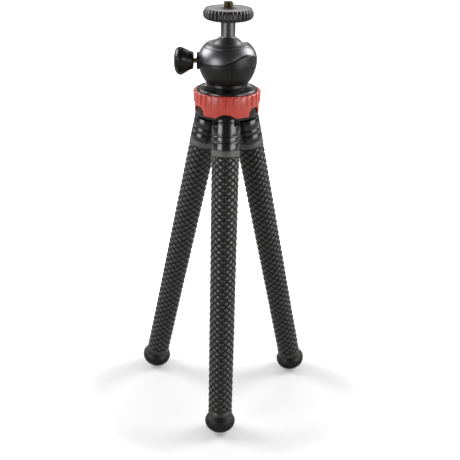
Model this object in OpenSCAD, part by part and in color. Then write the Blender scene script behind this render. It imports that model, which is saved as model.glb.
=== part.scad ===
// Flexible leg tripod: three bendable legs hinged to a hub with a twist ring, under a ball head.
// Millimetres. The floor is z = 0, the hub axis is Z, and the front leg stands towards -Y.

/* [Stance] */
// Hinge pin to the centre of the foot, measured along the leg
leg_len = 194.5; // [150:0.5:260]
// Lean of each leg from upright when the tripod stands, in degrees
splay = 12.9; // [8:0.1:20]
// Hub axis to the hinge pins
pivot_r = 15.5; // [14.5:0.1:17]
// Hinge pin to the leg's centre line
leg_inset = 2.77; // [2.2:0.01:3.4]

/* [Leg] */
// Radius of the collar at the top of the leg
collar_r = 8.9; // [8:0.05:10.5]
// Length of the collar below its shoulder
collar_len = 15.1; // [13:0.1:22]
// Hinge pin down to the collar's shoulder
shoulder_drop = 2.83; // [2.6:0.01:4]
// Width of the tongue between the hub's ears
tongue_w = 10.1; // [8:0.1:12]
// Length of the plain band at the top of the sleeve
band_len = 3.9; // [2.5:0.1:8]
// Radius of the sleeve where it meets the foot
sleeve_end_r = 7.7; // [7:0.05:8.8]
// Wall of the rubber sleeve
sleeve_wall = 1.7; // [1.2:0.05:2.2]
// Number of pads round the sleeve
pad_cols = 10; // [8:1:14]
// Height of a row of pads
pad_row = 4.15; // [3:0.05:7]
// Depth of the grooves between the pads
pad_groove = 0.6; // [0.2:0.05:0.8]
// Radius of the balls in the bendable core
core_ball_r = 4.2; // [3.4:0.05:4.8]
// Radius of the necks below those balls
core_neck_r = 2.2; // [1.6:0.05:2.8]
// Radius of the rubber foot
foot_r = 9.65; // [9.2:0.05:12]
// Centre of the foot down to its round end
foot_drop = 7.6; // [6.5:0.05:10]
// Depth of the flat that the foot stands on
foot_flat = 0.35; // [0.1:0.05:1.5]

/* [Hub and twist ring] */
// Radius of the disc that closes the hub
disc_r = 18.6; // [17:0.05:21]
// How far the hub's skirt stands out past the disc
skirt_over = 0.6; // [0:0.05:1.2]
// Radius of the hinge pins
pin_r = 1.2; // [0.8:0.05:1.6]
// Radius of the hub's ears around the pins
ear_r = 2.4; // [1.9:0.05:2.6]
// Thickness of each ear
ear_t = 3; // [2:0.1:4]
// Height of the twist ring
ring_h = 13.6; // [11.5:0.1:18]
// Height of the ring's plain lower band
ring_band_h = 6.3; // [4:0.1:9]
// Wall of the ring's lower band
ring_wall = 0.9; // [0.7:0.05:1.6]
// How far the ribs stand out from the lower band
rib_depth = 0.9; // [0.2:0.05:1.2]
// Number of ribs around the ring
rib_count = 30; // [12:1:36]
// Height of the deep notches that free the legs
notch_h = 5.1; // [3:0.1:6.5]
// Width of the deep notches at their mouth
notch_w = 10.6; // [8:0.1:13]

/* [Ball head] */
// Radius of the ball
ball_r = 11.5; // [10:0.05:12.3]
// Radius of the ball's stem
stem_r = 4.5; // [3.4:0.05:5.5]
// Radius of the housing at its widest
housing_r = 18.3; // [16.5:0.05:21]
// Radius of the rim and of the foot of the housing
housing_end_r = 13.2; // [12.4:0.05:15]
// Direction of the drop slot in the rim, from +X towards +Y, in degrees
slot_az = 40; // [0:1:90]
// Swing of the wavy parting line above and below its middle
wave_h = 3; // [1:0.1:4]
// Radius of the clamp screw
spindle_r = 1.8; // [1.3:0.05:2.6]
// Radius of the boss that the clamp screw runs in
boss_r = 5.35; // [4:0.05:6.5]
// Largest radius of the clamp knob
knob_r = 9.2; // [7:0.05:11]
// Length of the clamp knob
knob_len = 12.2; // [9:0.1:16]

/* [Camera platform] */
// Radius of the camera screw, nominal quarter inch
screw_r = 3.175; // [2.4:0.025:3.6]
// How far the camera screw stands above the platform
screw_proud = 4; // [3:0.1:8]
// Radius of the platform wheel
wheel_r = 15.4; // [13:0.05:20]
// Height of the platform wheel
wheel_h = 6.8; // [4.5:0.1:9]
// Number of flutes round the wheel
flute_count = 36; // [18:1:60]

/* [Clearances] */
// Running clearance of pins and shafts, on the radius
run_gap = 0.06; // [0.02:0.01:0.15]
// Clearance of parts that turn or slide past each other
turn_gap = 0.2; // [0.1:0.01:0.4]
// Clearance of parts that swing past each other
swing_gap = 0.4; // [0.2:0.05:0.8]

/* [Hidden] */
$fn = 72;
eps = 0.01;
// Longer than anything that is cut
clear = 40;
// Gap between parts that rest on each other, and the small bevel on their edges
rest_gap = 0.1;
edge = 0.5;

// Heights along the leg, from the hinge pin down, on the leg's own centre line
shoulder_z = -shoulder_drop;
collar_end_z = shoulder_z - collar_len;
band_end_z = collar_end_z - band_len;
foot_side = 1.5;
foot_bevel = 2.8;
foot_top_z = foot_side + foot_bevel - leg_len;
low_band = 3.2;
low_band_z = foot_top_z + low_band;
core_floor_z = 1.6 - leg_len;
bend_count = 4;
first_bend_drop = 20;
first_bend_z = collar_end_z - first_bend_drop;
bend_pitch = (leg_len + first_bend_z) / bend_count;
knuckle_r = collar_r - leg_inset;
knuckle_set = 0.06;
groove_w = 0.7;
groove_d = 0.45;
grooves = [shoulder_z - 0.41 * collar_len, shoulder_z - 0.65 * collar_len];
tongue_back = 0.5;

// The bendable core inside the sleeve
stub_wall = 3;
core_stub_r = collar_r - stub_wall;
stub_top_z = shoulder_z - 4.2;
spigot_r = collar_r - sleeve_wall - rest_gap;
socket_r = core_ball_r + rest_gap;
socket_lip = 1.6;
core_gap = core_ball_r + 2.2;

// Heights above the floor
foot_low = sqrt(pow(foot_r * sin(splay), 2) + pow(foot_drop * cos(splay), 2));
pivot_z = foot_low - foot_flat + leg_len * cos(splay) + leg_inset * sin(splay);
skirt_z = pivot_z + 0.8;
skirt_r = disc_r + skirt_over;
ring_z = pivot_z + 2.65;
ring_in_r = skirt_r + turn_gap;
ring_out_r = ring_in_r + ring_wall;
rib_r = ring_out_r + rib_depth;
rib_slope = 0.3;
rib_draft = 0.35 * rib_depth;
rib_gap_share = 0.28;
step_z = ring_z + 7;
washer_t = 0.3;
lip_z = step_z + washer_t + rest_gap;
lip_play = 0.3;
hub_top_z = ring_z + ring_h - 0.95;
hub_boss_r = disc_r - 2.4;
disc_t = 2.3;
disc_z = hub_top_z + disc_t;
arch_h = 2.45;
arch_half = 6.1;
arch_r = (arch_half * arch_half + arch_h * arch_h) / (2 * arch_h);
notch_foot = notch_h - 2.3;
notch_lean = 2.4;
ring_cut = 6 * (ring_wall + rib_depth);

// The ball head
pan_washer_t = 0.8;
pan_r = housing_end_r - 0.3;
pan_washer_r = pan_r - 1.3;
pan_z = disc_z + pan_washer_t + rest_gap;
pan_t = 2.6;
cup_h = 14.4;
dome_h = 10.2;
ball_rise = 3;
cup_z = pan_z + pan_t;
widest_z = cup_z + cup_h;
rim_z = widest_z + dome_h;
ball_z = widest_z + ball_rise;
cavity_r = ball_r + turn_gap;
seat_r = ball_r + rest_gap;
seat_out_r = ball_r + 1.1;
seat_z = ball_z - ball_r + rest_gap;
chamber_r = 6.5;
bolt_r = 3;
bolt_head_r = 3.4;
bolt_head_h = 2.4;
nut_af = 10;
nut_h = 3;
nut_gap = 0.3;
bolt_over = 1.1;
rim_flat = 0.8;
wave_gap = 0.16;
wave_mid_z = widest_z + 1;
crest_az = -47;

// The clamp, on the -X side of the housing
clamp_z = widest_z - 1.5;
boss_sink = 2.9;
boss_proud = 0.7;
shoe_back = 1.2;
shank_len = 2;
shoe_r = 2;
seat_h = clamp_z - shoe_r - swing_gap - seat_z;
shoe_tip_x = 1.5 - ball_r;
boss_in_x = boss_sink - housing_r;
boss_out_x = -housing_r - boss_proud;
shoe_end_x = boss_in_x + shoe_back;
knob_near_x = boss_out_x - shank_len;
knob_near_r = 0.6 * knob_r;
spindle_depth = 0.7 * knob_len;

// The platform
stem_len = 21.1;
stem_top_z = ball_z + stem_len;
wheel_z = stem_top_z + rest_gap;
wheel_top_z = wheel_z + wheel_h;
wheel_crown = 1.7;
wheel_top_r = wheel_r - 1.3;
flute_r = 0.75;
flute_depth = 0.4;
pad_rim = 0.6;
pad_r = wheel_top_r - pad_rim;
pad_in_r = screw_r + 1.4;
pad_t = 1;
pad_gap = 0.05;
screw_neck_r = screw_r - 0.5;
screw_root_r = screw_neck_r - rest_gap;
screw_root_len = 7;
screw_relief = 0.5;
screw_tip = 0.4;

// Outer radius of the sleeve at a height on the leg
function sleeve_r(z) =
  collar_r - (collar_r - sleeve_end_r) * (collar_end_z - z) / (collar_end_z - foot_top_z);

// Height of bend i on the leg
function bend_z(i) = first_bend_z - (i - 1) * bend_pitch;

// Height of the wavy parting line at an angle from +X towards +Y
function wave_z(az) =
  wave_mid_z + wave_h * (cos(2 * (az - crest_az)) + 0.3 * cos(4 * (az - crest_az)));

// Radius of an ellipse with its long radius at height mid and end_r at height end
function bulge_r(z, mid, end, end_r) =
  housing_r * sqrt(1 - (1 - pow(end_r / housing_r, 2)) * pow((z - mid) / (end - mid), 2));

// Places its children at the hinge of leg k
module at_hinge(k) {
  rotate([0, 0, 120 * (k - 1)])
    translate([0, -pivot_r, pivot_z])
      children();
}

// Places its children on the centre line of leg k, level with the hinge pin
module on_leg(k) {
  at_hinge(k)
    rotate([-splay, 0, 0])
      translate([0, leg_inset, 0])
        children();
}

// A bar along X, centred
module cross_bar(r, len) {
  rotate([0, 90, 0])
    cylinder(r = r, h = len, center = true);
}

// The rounded knuckle at the top of the tongue, a hair inside the curve of the collar's own front
module knuckle() {
  half = tongue_w / 2;
  front = [for (i = [-5:5])
    let (x = half * i / 5)
    [sqrt(collar_r * collar_r - x * x) - leg_inset - knuckle_set, x]];
  rotate([0, 90, 0])
    rotate_extrude()
      polygon(concat([[0, -half]], front, [[0, half]]));
}

// The space that the foot of the ring sweeps as it turns
module ring_path() {
  translate([0, 0, ring_z - swing_gap])
    difference() {
      cylinder(r = rib_r + collar_r, h = ring_h);
      translate([0, 0, -eps])
        cylinder(r = ring_in_r - swing_gap, h = ring_h + 2 * eps);
    }
}

module leg_collar(k) {
  color([0.06, 0.06, 0.065])
    difference() {
      on_leg(k)
        difference() {
          union() {
            difference() {
              collar_body();
              tongue_cuts();
            }
            translate([0, -leg_inset, 0])
              knuckle();
          }
          translate([0, -leg_inset, 0])
            cross_bar(pin_r + run_gap, tongue_w + 2);
          translate([0, 0, band_end_z - 1])
            cylinder(r = core_stub_r, h = stub_top_z - band_end_z + 1);
        }
      ring_path();
    }
}

// The round body of the collar, with two grooves and the spigot that the sleeve slips over
module collar_body() {
  groove_points = [for (g = grooves) each [
    [collar_r, g + groove_w / 2],
    [collar_r - groove_d, g + groove_w / 2],
    [collar_r - groove_d, g - groove_w / 2],
    [collar_r, g - groove_w / 2]
  ]];
  rotate_extrude()
    polygon(concat(
      [[0, 0], [collar_r, 0]],
      groove_points,
      [[collar_r, collar_end_z], [spigot_r, collar_end_z], [spigot_r, band_end_z], [0, band_end_z]]
    ));
}

// What is cut from the top of the collar to leave its shoulders and a flat-sided tongue
module tongue_cuts() {
  for (side = [-1, 1])
    translate([side * (tongue_w / 2 + clear / 2), 0, shoulder_z + clear / 2])
      cube(clear, center = true);
  translate([-clear / 2, knuckle_r - leg_inset - tongue_back, shoulder_z])
    cube(clear);
}

module leg_pin(k) {
  color([0.55, 0.55, 0.56])
    at_hinge(k)
      cross_bar(pin_r, tongue_w + 2 * turn_gap + 2 * ear_t);
}

// The rubber sleeve: a plain band, a net of pads, and a plain end inside the foot
module leg_sleeve(k) {
  end_z = core_floor_z + rest_gap;
  top_z = collar_end_z - rest_gap;
  color([0.2, 0.2, 0.2])
    on_leg(k)
      difference() {
        union() {
          sleeve_cone(top_z, band_end_z, 0);
          pad_net();
          sleeve_cone(low_band_z, end_z, 0);
        }
        sleeve_cone(top_z + 1, end_z - 1, sleeve_wall);
      }
}

// A stretch of the sleeve's taper, or of its bore
module sleeve_cone(high_z, low_z, wall) {
  rotate_extrude()
    polygon([
      [0, high_z],
      [sleeve_r(high_z) - wall, high_z],
      [sleeve_r(low_z) - wall, low_z],
      [0, low_z]
    ]);
}

// The pads: every second point of a net stands out, and the grooves run between the others
module pad_net() {
  around = 2 * pad_cols;
  rows = 2 * round((band_end_z - low_band_z) / pad_row);
  lap = pad_groove;
  heights = concat(
    [band_end_z + lap],
    [for (b = [0:rows]) band_end_z + (low_band_z - band_end_z) * b / rows],
    [low_band_z - lap]
  );
  last = len(heights) - 1;
  points = [for (b = [0:last], a = [0:around - 1])
    let (
      sunk = b < 2 || b > last - 2 || (a + b) % 2 == 0,
      r = sleeve_r(heights[b]) - (sunk ? pad_groove : 0),
      az = 360 * a / around
    )
    [r * cos(az), r * sin(az), heights[b]]];
  sides = [for (b = [0:last - 1], a = [0:around - 1])
    let (n = (a + 1) % around, p = b * around, q = p + around)
    each (a + b) % 2 == 0
      ? [[p + a, p + n, q + n], [p + a, q + n, q + a]]
      : [[p + a, p + n, q + a], [p + n, q + n, q + a]]];
  ends = [
    [for (a = [1:around]) around - a],
    [for (a = [0:around - 1]) last * around + a]
  ];
  polyhedron(points, concat(sides, ends), convexity = 6);
}

// Link i of the bendable core: a ball above, a neck, a barrel and a socket below
module leg_core(k, i) {
  color([0.4, 0.4, 0.42])
    on_leg(k) {
      if (i == 1)
        core_top();
      else if (i <= bend_count)
        core_middle(bend_z(i - 1), bend_z(i));
      else
        core_end(bend_z(bend_count));
    }
}

// Radius of a core barrel that reaches down to z
function barrel_r(z) = sleeve_r(z) - sleeve_wall - 1.2 * rest_gap;

module core_top() {
  low_z = bend_z(1) - socket_lip;
  difference() {
    union() {
      translate([0, 0, band_end_z - 1])
        cylinder(r = core_stub_r, h = stub_top_z - turn_gap - band_end_z + 1);
      translate([0, 0, low_z])
        cylinder(r = barrel_r(low_z), h = band_end_z - rest_gap - low_z);
    }
    translate([0, 0, bend_z(1)])
      sphere(r = socket_r);
  }
}

module core_middle(high_z, next_z) {
  low_z = next_z - socket_lip;
  top_z = high_z - core_gap;
  difference() {
    union() {
      core_ball(high_z, top_z);
      translate([0, 0, low_z])
        cylinder(r = barrel_r(low_z), h = top_z - low_z);
    }
    translate([0, 0, next_z])
      sphere(r = socket_r);
  }
}

module core_end(high_z) {
  top_z = high_z - core_gap;
  union() {
    core_ball(high_z, top_z);
    translate([0, 0, core_floor_z])
      cylinder(r = barrel_r(core_floor_z), h = top_z - core_floor_z);
  }
}

// A core ball with the neck that carries it
module core_ball(high_z, top_z) {
  translate([0, 0, high_z])
    sphere(r = core_ball_r);
  translate([0, 0, top_z - eps])
    cylinder(r = core_neck_r, h = high_z - top_z);
}

// The rubber foot: bevelled top, round bottom, and a small flat on the floor
module leg_foot(k) {
  mouth_r = sleeve_r(foot_top_z) + rest_gap / 2;
  steps = 12;
  color([0.05, 0.05, 0.055])
    difference() {
      on_leg(k)
        difference() {
          rotate_extrude()
            polygon(concat(
              [for (i = [0:steps])
                [foot_r * sin(90 * i / steps), -leg_len - foot_drop * cos(90 * i / steps)]],
              [[foot_r, -leg_len + foot_side], [mouth_r + edge, foot_top_z], [0, foot_top_z]]
            ));
          translate([0, 0, core_floor_z])
            cylinder(r = mouth_r, h = clear);
        }
      translate([-leg_len, -leg_len, -clear])
        cube([2 * leg_len, 2 * leg_len, clear]);
    }
}

module hub_body() {
  color([0.05, 0.05, 0.055])
    difference() {
      union() {
        translate([0, 0, skirt_z])
          cylinder(r = skirt_r, h = step_z - skirt_z);
        translate([0, 0, step_z - eps])
          cylinder(r = hub_boss_r, h = hub_top_z - step_z + eps);
        for (k = [1:3])
          hub_ears(k);
      }
      for (k = [1:3])
        at_hinge(k) {
          cross_bar(knuckle_r + swing_gap, tongue_w + 2 * turn_gap);
          cross_bar(pin_r, tongue_w + 2 * ear_t + 4 * turn_gap);
        }
      translate([0, 0, skirt_z - 1])
        cylinder(r = bolt_r + run_gap, h = clear);
    }
}

// The two ears that hold the hinge pin of leg k
module hub_ears(k) {
  inner = tongue_w / 2 + turn_gap;
  at_hinge(k)
    for (side = [-1, 1])
      translate([side * (inner + ear_t / 2), 0, 0]) {
        cross_bar(ear_r, ear_t);
        translate([-ear_t / 2, -ear_r, 0])
          cube([ear_t, 2 * ear_r, skirt_z - pivot_z + 1]);
      }
}

module ring_washer() {
  color([0.75, 0.75, 0.72])
    translate([0, 0, step_z])
      difference() {
        cylinder(r = disc_r, h = washer_t);
        translate([0, 0, -eps])
          cylinder(r = hub_boss_r + rest_gap, h = washer_t + 2 * eps);
      }
}

// The twist ring: a shallow arch over each leg, a deep notch between them, ribs above
module lock_ring() {
  top_z = ring_z + ring_h;
  ring_draft = 0.1;
  color([0.78, 0.2, 0.17])
    difference() {
      rotate_extrude()
        polygon([
          [ring_in_r, ring_z],
          [ring_out_r - ring_draft, ring_z],
          [ring_out_r, ring_z + ring_band_h],
          [rib_r - rib_draft, ring_z + ring_band_h + rib_slope],
          [rib_r, top_z - edge],
          [rib_r - edge, top_z],
          [disc_r + turn_gap, top_z],
          [disc_r + turn_gap, hub_top_z - lip_play],
          [hub_boss_r + turn_gap, hub_top_z - lip_play],
          [hub_boss_r + turn_gap, lip_z],
          [ring_in_r, lip_z]
        ]);
      for (k = [1:3])
        rotate([0, 0, 120 * (k - 1)]) {
          ring_arch();
          rotate([0, 0, 60])
            ring_notch();
        }
      for (i = [1:rib_count])
        rotate([0, 0, 360 * i / rib_count])
          rib_gap();
    }
}

module ring_arch() {
  translate([0, -ring_in_r, ring_z + arch_h - arch_r])
    rotate([90, 0, 0])
      cylinder(r = arch_r, h = ring_cut, center = true);
}

module ring_notch() {
  half = notch_w / 2;
  translate([0, -ring_in_r + ring_cut / 2, ring_z])
    rotate([90, 0, 0])
      linear_extrude(ring_cut)
        polygon([
          [-half, -1],
          [half, -1],
          [half, notch_foot],
          [half - notch_lean, notch_h],
          [notch_lean - half, notch_h],
          [-half, notch_foot]
        ]);
}

// The gap between two ribs
module rib_gap() {
  gap_w = rib_gap_share * 2 * PI * rib_r / rib_count;
  translate([-gap_w / 2, -rib_r - 1, ring_z + ring_band_h + 2 * rib_slope])
    cube([gap_w, 1 + rib_depth, ring_h]);
}

module hub_disc() {
  color([0.07, 0.07, 0.075])
    difference() {
      translate([0, 0, hub_top_z])
        rotate_extrude()
          polygon([[0, 0], [disc_r, 0], [disc_r, disc_t - edge], [disc_r - edge, disc_t], [0, disc_t]]);
      translate([0, 0, hub_top_z - 1])
        cylinder(r = bolt_r + run_gap, h = disc_t + 2);
    }
}

module head_bolt() {
  top_z = cup_z + nut_gap + nut_h + bolt_over;
  color([0.6, 0.6, 0.62])
    union() {
      translate([0, 0, skirt_z - bolt_head_h])
        cylinder(r = bolt_head_r, h = bolt_head_h);
      translate([0, 0, skirt_z - eps])
        cylinder(r = bolt_r, h = top_z - skirt_z);
    }
}

module pan_nut() {
  color([0.6, 0.6, 0.62])
    translate([0, 0, cup_z + nut_gap])
      difference() {
        cylinder(r = nut_af / 2 / cos(30), h = nut_h, $fn = 6);
        translate([0, 0, -1])
          cylinder(r = bolt_r, h = nut_h + 2);
      }
}

module pan_washer() {
  color([0.15, 0.15, 0.15])
    translate([0, 0, disc_z])
      difference() {
        cylinder(r = pan_washer_r, h = pan_washer_t);
        translate([0, 0, -1])
          cylinder(r = bolt_r + run_gap, h = pan_washer_t + 2);
      }
}

module pan_base() {
  color([0.06, 0.06, 0.065])
    translate([0, 0, pan_z])
      difference() {
        rotate_extrude()
          polygon([[0, 0], [pan_r - edge, 0], [pan_r, edge], [pan_r, pan_t], [0, pan_t]]);
        translate([0, 0, -1])
          cylinder(r = bolt_r + run_gap, h = pan_t + 2);
      }
}

// The whole outside of the housing, as one solid
module housing_solid() {
  steps = 12;
  low = [for (i = [0:steps])
    let (z = cup_z + (widest_z - cup_z) * i / steps)
    [bulge_r(z, widest_z, cup_z, housing_end_r), z]];
  bevel_z = rim_z - edge;
  high = [for (i = [1:steps])
    let (z = widest_z + (bevel_z - widest_z) * i / steps)
    [bulge_r(z, widest_z, bevel_z, housing_end_r), z]];
  rotate_extrude()
    polygon(concat(low, high, [[housing_end_r - rim_flat, rim_z], [0, rim_z], [0, cup_z]]));
}

// The part of the housing above (side 1) or below (side -1) the wavy parting line
module wave_block(side) {
  steps = 60;
  r_in = chamber_r / 3;
  r_out = 1.4 * housing_r;
  far_z = side > 0 ? rim_z + edge : cup_z - edge;
  points = [for (i = [0:steps - 1])
    let (az = 360 * i / steps, z = wave_z(az) + side * wave_gap / 2)
    each [
      [r_in * cos(az), r_in * sin(az), z],
      [r_out * cos(az), r_out * sin(az), z],
      [r_out * cos(az), r_out * sin(az), far_z],
      [r_in * cos(az), r_in * sin(az), far_z]
    ]];
  faces = [for (i = [0:steps - 1])
    let (a = 4 * i, b = 4 * ((i + 1) % steps))
    for (j = [0:3])
      let (n = (j + 1) % 4)
      each side > 0
        ? [[a + j, b + j, b + n], [a + j, b + n, a + n]]
        : [[a + j, b + n, b + j], [a + j, a + n, b + n]]];
  polyhedron(points, faces, convexity = 6);
}

// What is cut from both halves of the housing
module housing_cuts() {
  translate([0, 0, ball_z])
    sphere(r = cavity_r);
  drop_slot();
  clamp_bore();
}

// The stepped bore of the clamp: narrow for the shoe, wide for the boss
module clamp_bore() {
  translate([0, 0, clamp_z])
    rotate([0, -90, 0])
      rotate_extrude()
        polygon([
          [0, -shoe_tip_x - 2 * shoe_r],
          [shoe_r + run_gap, -shoe_tip_x - 2 * shoe_r],
          [shoe_r + run_gap, -boss_in_x],
          [boss_r + run_gap, -boss_in_x],
          [boss_r + run_gap, clear],
          [0, clear]
        ]);
}

// The slot that the stem drops into to lie flat
module drop_slot() {
  w = stem_r + swing_gap;
  translate([0, 0, ball_z])
    rotate([0, 0, slot_az]) {
      rotate([0, 90, 0])
        cylinder(r = w, h = clear);
      translate([0, -w, 0])
        cube([clear, 2 * w, clear]);
    }
}

module housing_dome() {
  color([0.22, 0.22, 0.23])
    difference() {
      intersection() {
        housing_solid();
        wave_block(1);
      }
      housing_cuts();
    }
}

module housing_cup() {
  color([0.08, 0.08, 0.085])
    difference() {
      intersection() {
        housing_solid();
        wave_block(-1);
      }
      housing_cuts();
      translate([0, 0, cup_z - 1])
        cylinder(r = chamber_r, h = seat_z - cup_z + 2);
      translate([0, 0, seat_z])
        cylinder(r = seat_out_r, h = rim_z - seat_z);
    }
}

// The ring that the ball sits in
module ball_seat() {
  color([0.8, 0.8, 0.76])
    difference() {
      translate([0, 0, seat_z])
        cylinder(r = seat_out_r - rest_gap / 2, h = seat_h);
      translate([0, 0, ball_z])
        sphere(r = seat_r);
      translate([0, 0, seat_z - 1])
        cylinder(r = chamber_r, h = seat_h + 2);
    }
}

module ball_stud() {
  color([0.16, 0.16, 0.17])
    difference() {
      union() {
        translate([0, 0, ball_z])
          sphere(r = ball_r);
        translate([0, 0, ball_z])
          cylinder(r = stem_r, h = stem_top_z - ball_z);
      }
      translate([0, 0, stem_top_z - screw_root_len])
        cylinder(r = screw_root_r, h = screw_root_len + 1);
    }
}

module clamp_boss() {
  color([0.04, 0.04, 0.045])
    translate([(boss_in_x + boss_out_x) / 2, 0, clamp_z])
      difference() {
        cross_bar(boss_r, boss_in_x - boss_out_x);
        cross_bar(spindle_r + run_gap, clear);
      }
}

// The brake shoe, hollowed to the ball
module brake_shoe() {
  color([0.82, 0.8, 0.74])
    difference() {
      translate([(shoe_tip_x + shoe_end_x) / 2, 0, clamp_z])
        cross_bar(shoe_r, shoe_tip_x - shoe_end_x);
      translate([0, 0, ball_z])
        sphere(r = seat_r);
    }
}

module clamp_spindle() {
  tip_x = shoe_end_x - rest_gap / 2;
  end_x = knob_near_x - spindle_depth;
  color([0.72, 0.58, 0.3])
    translate([(tip_x + end_x) / 2, 0, clamp_z])
      cross_bar(spindle_r, tip_x - end_x);
}

// The knob: a domed bulb with three finger scallops
module clamp_knob() {
  scallop_r = 0.6 * knob_r;
  scallop_at = 1.3 * knob_r;
  grip = 0.2 * knob_len;
  bulb = [[0.84, 0.42], [0.98, 0.56], [1, 0.66], [0.965, 0.78], [0.83, 0.9], [0.58, 0.97]];
  color([0.04, 0.04, 0.045])
    translate([knob_near_x, 0, clamp_z])
      rotate([0, -90, 0])
        difference() {
          rotate_extrude()
            polygon(concat(
              [[0, 0], [knob_near_r - edge, 0], [knob_near_r, edge], [1.06 * knob_near_r, grip]],
              [for (b = bulb) [b[0] * knob_r, b[1] * knob_len]],
              [[0, knob_len]]
            ));
          for (i = [0:2])
            rotate([0, 0, 120 * i - 105])
              translate([scallop_at, 0, grip])
                cylinder(r = scallop_r, h = knob_len);
          translate([0, 0, -1])
            cylinder(r = spindle_r, h = spindle_depth + 1);
        }
}

module platform_wheel() {
  under_r = 1.3;
  under_h = 0.8;
  wheel_side_z = 2;
  color([0.1, 0.1, 0.105])
    translate([0, 0, wheel_z])
      difference() {
        rotate_extrude()
          polygon([
            [0, 0],
            [wheel_r - 2 * under_r, 0],
            [wheel_r - under_r + edge, under_h],
            [wheel_r, wheel_side_z],
            [wheel_r, wheel_h - wheel_crown],
            [wheel_top_r, wheel_h],
            [0, wheel_h]
          ]);
        translate([0, 0, wheel_h - pad_t])
          difference() {
            cylinder(r = pad_r + pad_gap, h = pad_t + 1);
            translate([0, 0, -1])
              cylinder(r = pad_in_r - pad_gap, h = pad_t + 3);
          }
        translate([0, 0, -1])
          cylinder(r = screw_neck_r + run_gap, h = wheel_h + 2);
        for (i = [1:flute_count])
          rotate([0, 0, 360 * i / flute_count])
            translate([wheel_r + flute_r - flute_depth, 0, -1])
              cylinder(r = flute_r, h = wheel_h + 2);
      }
}

module platform_pad() {
  color([0.2, 0.2, 0.2])
    translate([0, 0, wheel_top_z - pad_t])
      difference() {
        cylinder(r = pad_r, h = pad_t);
        translate([0, 0, -1])
          cylinder(r = pad_in_r, h = pad_t + 2);
      }
}

// The camera screw: a root in the stem, a neck that the wheel turns on, and the free end
module camera_screw() {
  tip_z = wheel_top_z + screw_proud;
  thread_z = wheel_top_z + screw_relief;
  color([0.4, 0.34, 0.26])
    union() {
      translate([0, 0, stem_top_z - screw_root_len])
        cylinder(r = screw_root_r, h = screw_root_len + eps);
      translate([0, 0, stem_top_z])
        cylinder(r = screw_neck_r, h = thread_z - stem_top_z + eps);
      translate([0, 0, thread_z])
        cylinder(r = screw_r, h = tip_z - screw_tip - thread_z);
      translate([0, 0, tip_z - screw_tip])
        cylinder(r1 = screw_r, r2 = screw_r - screw_tip, h = screw_tip);
    }
}

camera_screw();
platform_wheel();
platform_pad();
ball_stud();
housing_dome();
housing_cup();
ball_seat();
clamp_boss();
clamp_spindle();
brake_shoe();
clamp_knob();
pan_base();
pan_washer();
pan_nut();
head_bolt();
hub_disc();
ring_washer();
lock_ring();
hub_body();
for (k = [1:3]) {
  leg_collar(k);
  leg_pin(k);
  leg_sleeve(k);
  for (i = [1:bend_count + 1])
    leg_core(k, i);
  leg_foot(k);
}
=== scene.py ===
import bpy
import bmesh
from math import cos, sin, pi, tau, sqrt, atan2, radians, degrees
from mathutils import Matrix, Vector


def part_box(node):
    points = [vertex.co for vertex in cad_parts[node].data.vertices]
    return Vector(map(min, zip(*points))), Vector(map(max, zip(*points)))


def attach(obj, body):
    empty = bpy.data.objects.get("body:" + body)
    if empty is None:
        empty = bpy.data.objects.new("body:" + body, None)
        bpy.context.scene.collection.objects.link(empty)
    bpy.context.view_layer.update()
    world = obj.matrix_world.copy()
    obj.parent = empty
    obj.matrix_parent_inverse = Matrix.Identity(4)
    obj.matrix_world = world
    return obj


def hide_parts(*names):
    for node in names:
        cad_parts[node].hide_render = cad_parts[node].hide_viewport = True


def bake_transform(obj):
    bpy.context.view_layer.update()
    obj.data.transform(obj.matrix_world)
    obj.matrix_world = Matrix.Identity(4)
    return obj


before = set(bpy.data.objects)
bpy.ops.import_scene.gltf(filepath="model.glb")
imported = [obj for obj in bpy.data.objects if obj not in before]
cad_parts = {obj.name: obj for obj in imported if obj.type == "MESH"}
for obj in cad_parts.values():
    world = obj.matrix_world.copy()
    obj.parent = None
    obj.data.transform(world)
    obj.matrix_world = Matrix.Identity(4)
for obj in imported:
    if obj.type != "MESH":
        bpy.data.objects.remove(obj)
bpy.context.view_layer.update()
scene = bpy.context.scene
mm = 0.001
print("frame loaded:", len(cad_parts), "nodes")


# lowest and highest point of a CAD node, in mm
def lowOf(node):
    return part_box(node)[0].z / mm


def topOf(node):
    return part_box(node)[1].z / mm


def makeGroup(name, inputs, outputs):
    group = bpy.data.node_groups.new(name, "ShaderNodeTree")
    for label, kind, value in inputs:
        socket = group.interface.new_socket(label, in_out="INPUT", socket_type=kind)
        socket.default_value = value
    for label, kind in outputs:
        group.interface.new_socket(label, in_out="OUTPUT", socket_type=kind)
    start = group.nodes.new("NodeGroupInput")
    end = group.nodes.new("NodeGroupOutput")
    return group, start, end


def addNode(tree, kind, values=None, **settings):
    node = tree.nodes.new(kind)
    for key, value in settings.items():
        setattr(node, key, value)
    for key, value in (values or {}).items():
        node.inputs[key].default_value = value
    return node


def mathNode(tree, operation, first, second=None, clamp=False):
    node = addNode(tree, "ShaderNodeMath", operation=operation, use_clamp=clamp)
    for slot, value in enumerate((first, second)):
        if value is None:
            continue
        if isinstance(value, (int, float)):
            node.inputs[slot].default_value = value
        else:
            tree.links.new(value, node.inputs[slot])
    return node.outputs[0]


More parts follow.
